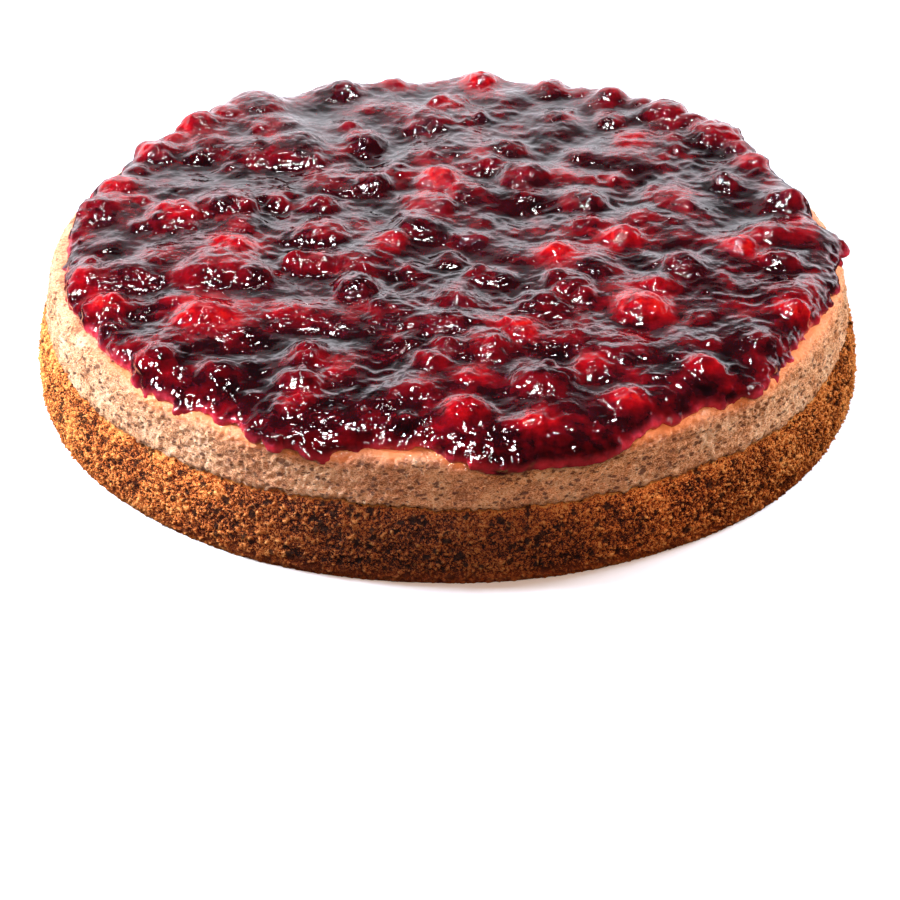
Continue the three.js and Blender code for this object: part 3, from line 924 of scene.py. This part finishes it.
studio = {
    "lens": 140, "distance": 1.132, "elevation": 29.8, "lower": 0.0275, "right": 0.0011,
    "cardSize": (1.8, 0.21), "cardBehind": 0.2, "cardGlow": 1.56, "floorSize": 12,
    "softboxes": [  # name, place, size, power and colour
        ("KeyLeft", (-0.8, 0.12, 0.4), (0.5, 0.5), 35, (0.87, 1.01, 1.27)),
        ("FillRight", (0.8, 0.3, 0.4), (0.4, 0.5), 17.8, (0.93, 1.02, 1.2)),
        ("FrontFill", (0.1, -0.9, 0.7), (0.8, 0.5), 10.8, (1, 0.71, 0.55))],
    "glintLamps": [  # small and bright, they only glint on the wet jelly
        ("GlintLeft", (-0.75, -0.1, 0.5), (0.09, 0.11), 6.5),
        ("Sparkle", (-0.25, -0.5, 0.85), (0.11, 0.07), 9),
        ("SparkleTop", (-0.3, -0.1, 0.95), (0.07, 0.05), 6),
        ("Overhead", (0.15, 0.3, 1.1), (0.06, 0.06), 3.2),
        ("GlintHigh", (-0.12, 0.45, 0.78), (0.035, 0.035), 0.4),
        ("GlintFront", (-0.35, -0.85, 0.5), (0.1, 0.05), 2.5),
        ("GlintLow", (-0.2, -1.0, 0.2), (0.12, 0.04), 2)],
}


def makeCamera():
    data = bpy.data.cameras.new("Camera")
    data.lens = studio["lens"]
    data.sensor_width = 36
    data.clip_start = 0.05
    camera = bpy.data.objects.new("Camera", data)
    bpy.context.scene.collection.objects.link(camera)
    tilt = math.radians(studio["elevation"])
    up = Vector((0, math.sin(tilt), math.cos(tilt)))
    camera.location = Vector((0, -math.cos(tilt), math.sin(tilt))) * studio["distance"]
    aim = Vector((studio["right"], 0, 0)) - up * studio["lower"]
    camera.rotation_euler = (aim - camera.location).to_track_quat("-Z", "Y").to_euler()
    bpy.context.scene.camera = camera


def softbox(name, where, aim, size, power, lights=True, shines=True, colour=(1, 1, 1)):
    data = bpy.data.lights.new(name, "AREA")
    data.shape = "RECTANGLE"
    data.size, data.size_y = size
    data.energy = power
    data.color = colour
    light = bpy.data.objects.new(name, data)
    light.location = where
    light.rotation_euler = (Vector(aim) - Vector(where)).to_track_quat("-Z", "Z").to_euler()
    light.visible_camera = False
    light.visible_glossy = shines
    light.visible_diffuse = lights
    bpy.context.scene.collection.objects.link(light)


def makeCard():  # behind the cake, bright at its foot and fading upward, for the jelly to mirror
    bpy.ops.object.select_all(action="DESELECT")
    bpy.ops.mesh.primitive_plane_add(size=1, rotation=(math.radians(90), 0, 0))
    card = bpy.context.object
    card.name = "Card"
    card.scale = (*studio["cardSize"], 1)
    card.location = (0, studio["cardBehind"], studio["cardSize"][1] / 2 + 0.02)
    bpy.ops.object.transform_apply(location=True, rotation=True, scale=True)
    material, tree, shader = newMaterial("White card")
    height = place(tree, "ShaderNodeSeparateXYZ", [(0, spotOn(tree))]).outputs["Z"]
    share = sums(tree, "DIVIDE", height, studio["cardSize"][1])
    glow = ramp(tree, share, [(0.0, (1, 0.97, 1.05)), (0.5, (0.84, 0.82, 0.89)), (0.6, (0.56, 0.55, 0.6)),
                              (0.72, (0.12, 0.12, 0.13)), (1.0, (0.04, 0.04, 0.045))])
    shader.inputs["Base Color"].default_value = (0, 0, 0, 1)
    tree.links.new(glow, shader.inputs["Emission Color"])
    shader.inputs["Emission Strength"].default_value = studio["cardGlow"]
    card.data.materials.append(material)
    card.visible_camera = card.visible_diffuse = card.visible_shadow = False


def makeStudio():
    bpy.ops.object.select_all(action="DESELECT")
    bpy.ops.mesh.primitive_plane_add(size=studio["floorSize"], location=(0, 0, -0.2 * mm))
    floor = bpy.context.object
    floor.name = "Floor"
    material, _, shader = newMaterial("Pale floor")
    shader.inputs["Base Color"].default_value = (0.86, 0.86, 0.86, 1)
    shader.inputs["Roughness"].default_value = 0.9
    floor.data.materials.append(material)
    floor.visible_diffuse = floor.visible_glossy = False
    world = bpy.data.worlds.new("Studio")
    world.use_nodes = True
    background = world.node_tree.nodes["Background"]
    background.inputs["Color"].default_value = (0.9, 0.93, 1, 1)
    background.inputs["Strength"].default_value = 0.03
    bpy.context.scene.world = world
    makeCard()
    for name, where, size, power, colour in studio["softboxes"]:
        softbox(name, where, (0, 0, 0.03), size, power, shines=False, colour=colour)
    for name, where, size, power in studio["glintLamps"]:
        softbox(name, where, (0, 0, 0.04), size, power, lights=False)
    bpy.context.scene.view_settings.view_transform = "Standard"


makeCamera()
makeStudio()
print("camera and studio ready")

dress(makeSponge(), spongeMaterial(), "sponge", "sponge_base")
print("sponge ready")

edge = outlineOf(frame["nodes"]["berry_jelly"])
dress(makeMousse(edge), mousseMaterial(), "mousse", "chocolate_mousse")
print("mousse ready")

berries = standingBerries()
places = sunkPlaces(berries)
skin = makeJelly(places, berries, edge)
dress(skin, jellyMaterial("Red berry jelly", filmy=True), "jelly", "berry_jelly")
print("jelly ready:", len(skin.data.polygons), "faces over", len(places), "sunk berries")

redMaterial, darkMaterial = jellyMaterial("Red berry"), jellyMaterial("Dark berry")
for berry in berries:
    piece = makeBerry(berry)
    paintGlow(piece, places, berries)
    if berry["red"]:
        dress(piece, redMaterial, "red_berry", berry["node"])
    else:
        dress(piece, darkMaterial, "dark_berry", berry["node"])
print("standing berries ready:", len(berries))
